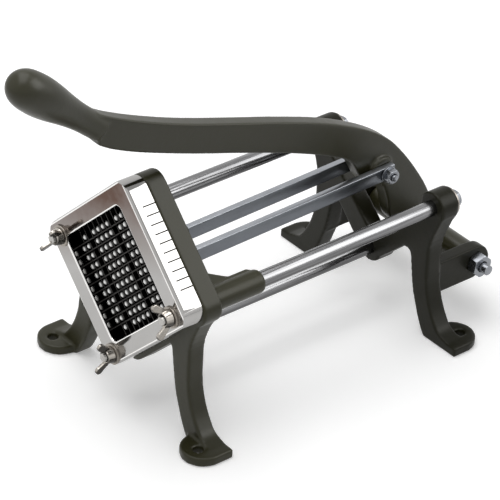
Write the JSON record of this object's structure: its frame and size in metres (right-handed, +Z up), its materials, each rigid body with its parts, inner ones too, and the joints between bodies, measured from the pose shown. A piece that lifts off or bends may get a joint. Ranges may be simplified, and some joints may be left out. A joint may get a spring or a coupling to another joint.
{
  "type": "french fry cutter",
  "caption": "Lever-operated potato cutter: a pin-studded pusher slides on guide rods into a crossed blade grid, driven by a long arm through two links.",
  "frame": {"origin": "on the counter, at the centre of the four foot bolt holes", "axes": "+X from the blade end towards the lever pivot, +Y towards the left when looking along +X, +Z up"},
  "size_m": [0.4234, 0.2106, 0.3211],
  "materials": {
    "casting_paint": "satin dark olive-grey paint on a sand casting",
    "lever_paint": "satin dark olive-grey paint on a sand casting",
    "pusher_paint": "satin dark olive-grey paint on a sand casting",
    "chrome_rod": "bright chrome plating",
    "chrome_holder": "bright chrome plating",
    "pin_metal": "bright pin ends",
    "zinc": "bright zinc plating",
    "link_steel": "bluish zinc-plated flat bar",
    "wing_nut_metal": "dull zinc-plated cast wing nuts",
    "blade_steel": "thin stainless blade strip"
  },
  "bodies": {
    "frame": {"front_frame": "casting_paint", "rear_frame": "casting_paint", "guide_rod_far": "chrome_rod", "guide_rod_near": "chrome_rod", "guide_rod_bottom": "chrome_rod", "blade_holder": "chrome_holder", "pivot_bolt": "zinc", "pivot_nut": "zinc", "wing_washers": "zinc", "rod_nuts": "zinc", "rod_washers": "zinc", "blade_across_1": "blade_steel", "blade_across_2": "blade_steel", "blade_across_3": "blade_steel", "blade_across_4": "blade_steel", "blade_across_5": "blade_steel", "blade_across_6": "blade_steel", "blade_across_7": "blade_steel", "blade_across_8": "blade_steel", "blade_across_9": "blade_steel", "blade_across_10": "blade_steel", "blade_upright_1": "blade_steel", "blade_upright_2": "blade_steel", "blade_upright_3": "blade_steel", "blade_upright_4": "blade_steel", "blade_upright_5": "blade_steel", "blade_upright_6": "blade_steel", "blade_upright_7": "blade_steel", "blade_upright_8": "blade_steel", "blade_upright_9": "blade_steel", "blade_upright_10": "blade_steel"},
    "lever": {"lever": "lever_paint"},
    "links": {"link_far": "link_steel", "link_near": "link_steel", "link_bolt": "zinc", "link_nut": "zinc", "link_washers": "zinc", "pusher_bolt": "zinc", "pusher_nut": "zinc", "pusher_washers": "zinc"},
    "pusher": {"pusher_block": "pusher_paint", "pusher_pins": "pin_metal"},
    "wing_nut_far": {"wing_nut_far": "wing_nut_metal"},
    "wing_nut_near": {"wing_nut_near": "wing_nut_metal"},
    "wing_nut_bottom": {"wing_nut_bottom": "wing_nut_metal"}
  },
  "joints": [
    {"name": "lever_swing", "type": "hinge", "parent": "frame", "child": "lever", "pos_m": [0.1665, 0, 0.045], "axis": [0, 1, 0], "range_deg": [0, 72.19]},
    {"name": "link_swing", "type": "hinge", "parent": "lever", "child": "links", "pos_m": [0.11, 0, 0.1225], "axis": [0, 1, 0], "range_deg": [-72.2, 0]},
    {"name": "pusher_slide", "type": "slide", "parent": "frame", "child": "pusher", "axis": [1, 0, 0], "range_m": [0, 0.11302]},
    {"name": "wing_nut_far_turn", "type": "hinge", "parent": "frame", "child": "wing_nut_far", "pos_m": [-0.1475, 0.066, 0.1172], "axis": [1, 0, 0], "continuous": true},
    {"name": "wing_nut_near_turn", "type": "hinge", "parent": "frame", "child": "wing_nut_near", "pos_m": [-0.1475, -0.066, 0.1172], "axis": [1, 0, 0], "continuous": true},
    {"name": "wing_nut_bottom_turn", "type": "hinge", "parent": "frame", "child": "wing_nut_bottom", "pos_m": [-0.1475, 0, 0.047], "axis": [1, 0, 0], "continuous": true}
  ],
  "couplings": [
    {"joint": "link_swing", "follows": "lever_swing", "ratio": -1},
    {"joint": "pusher_slide", "follows": "lever_swing", "m_per_rad": 0.08969}
  ]
}
